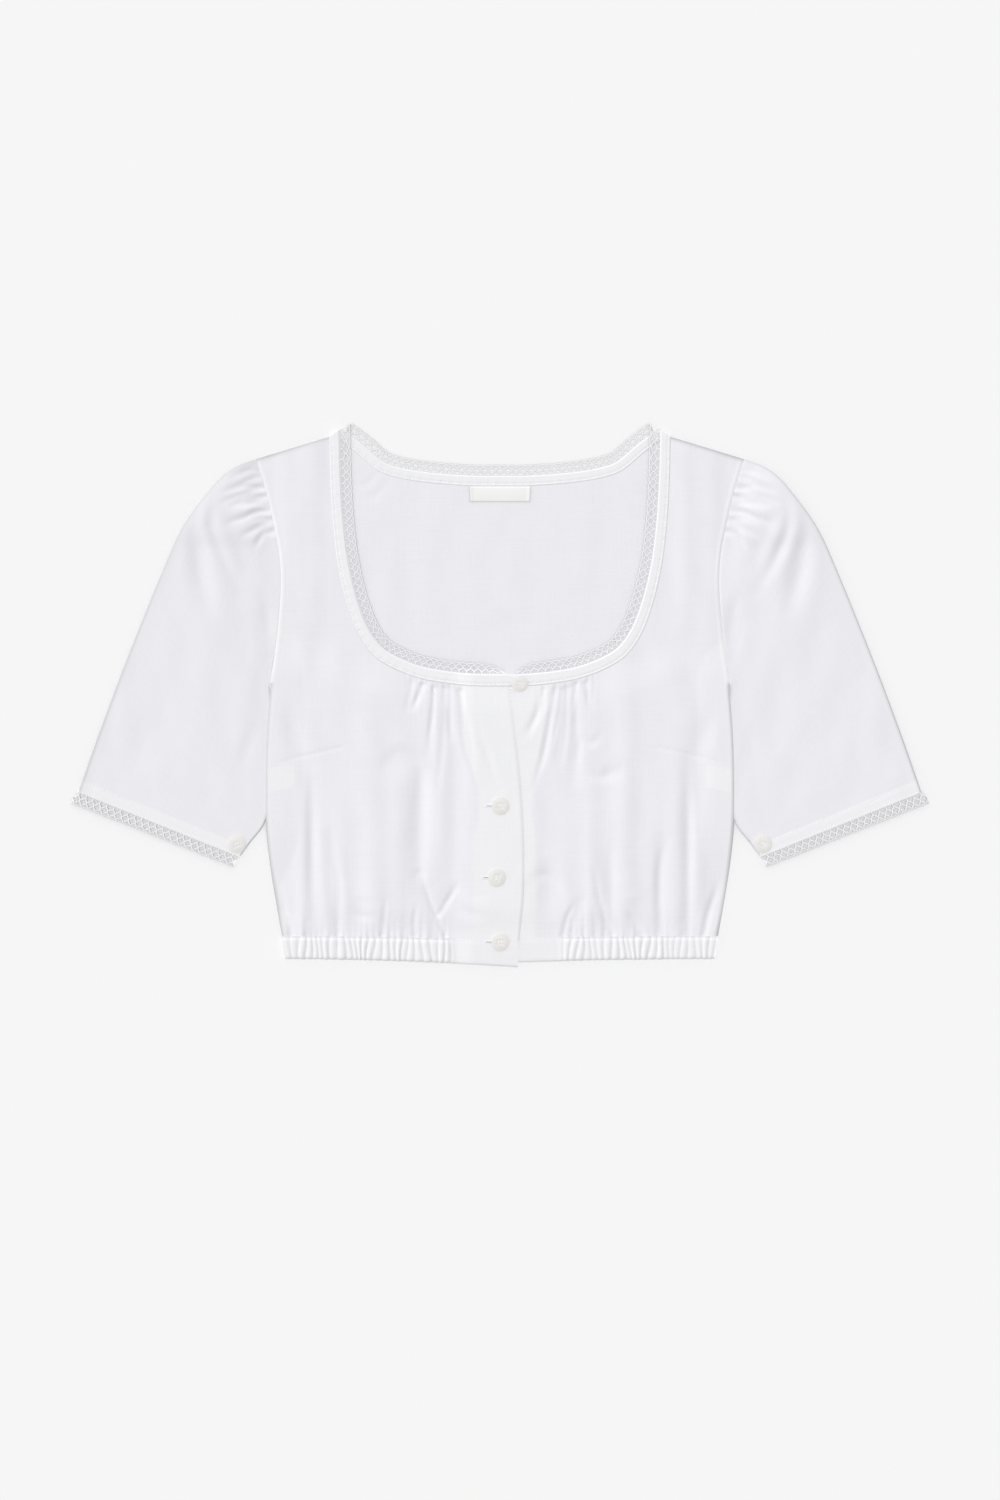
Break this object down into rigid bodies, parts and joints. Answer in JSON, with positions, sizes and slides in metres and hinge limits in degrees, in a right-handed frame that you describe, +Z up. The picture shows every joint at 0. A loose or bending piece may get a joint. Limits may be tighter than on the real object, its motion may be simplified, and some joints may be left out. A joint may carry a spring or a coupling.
{
  "type": "dirndl blouse laid flat",
  "caption": "Cropped white cotton dirndl blouse laid flat, front up: puffed half sleeves, deep round neck, lace edging, buttoned front and elastic hem.",
  "frame": {"origin": "on the surface that the blouse lies on, below the middle of its outline", "axes": "+X towards the wearer's left sleeve, +Y from hem to neck, +Z up out of the front"},
  "size_m": [0.643, 0.4076, 0.0093],
  "materials": {
    "cotton": "matt white cotton, slightly sheer",
    "doubled_cotton": "matt white cotton, doubled",
    "lace": "white cotton bobbin edging",
    "button": "warm white, soft gloss",
    "thread": "white sewing thread",
    "label": "off-white woven satin, blank"
  },
  "bodies": {
    "root": {"back_panel": "cotton", "front_right": "cotton", "front_left": "cotton", "sleeve_right": "cotton", "sleeve_left": "cotton", "neck_band_right": "doubled_cotton", "neck_band_left": "doubled_cotton", "neck_band_back": "doubled_cotton", "hem_casing_right": "doubled_cotton", "hem_casing_left": "doubled_cotton", "hem_casing_back": "doubled_cotton", "neck_lace_right": "lace", "neck_lace_left": "lace", "neck_lace_back": "lace", "sleeve_lace_right": "lace", "sleeve_lace_left": "lace", "button_neck": "button", "button_front_top": "button", "button_front_middle": "button", "button_front_hem": "button", "button_sleeve_right": "button", "button_sleeve_left": "button", "thread_loop": "thread", "label": "label"}
  },
  "joints": []
}
